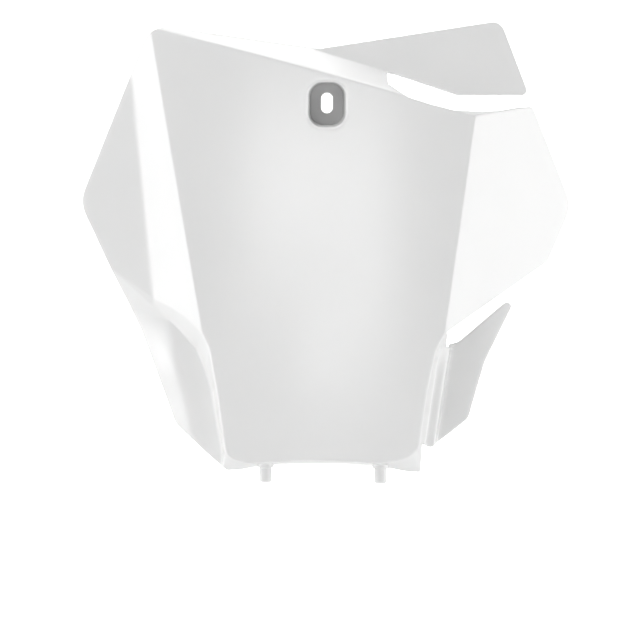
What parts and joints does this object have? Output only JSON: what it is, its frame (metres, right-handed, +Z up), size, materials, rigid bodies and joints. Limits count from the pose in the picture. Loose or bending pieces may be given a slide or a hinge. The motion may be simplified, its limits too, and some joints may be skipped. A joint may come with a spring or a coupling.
{
  "type": "motorcycle front number board",
  "caption": "Moulded front number board with a crowned blank field, folded-back wings, a set-back fin and side panels, a recessed screw slot and locating pegs.",
  "frame": {"origin": "centre of the screw slot, on the pocket floor that the screw head or washer bears on", "axes": "+X to the viewer's right as the board is seen from in front, +Z up, front of the board towards -Y"},
  "size_m": [0.2818, 0.0483, 0.2641],
  "materials": {
    "board_plastic": "moulded polypropylene, semi-gloss"
  },
  "bodies": {
    "root": {"number_board": "board_plastic"}
  },
  "joints": []
}
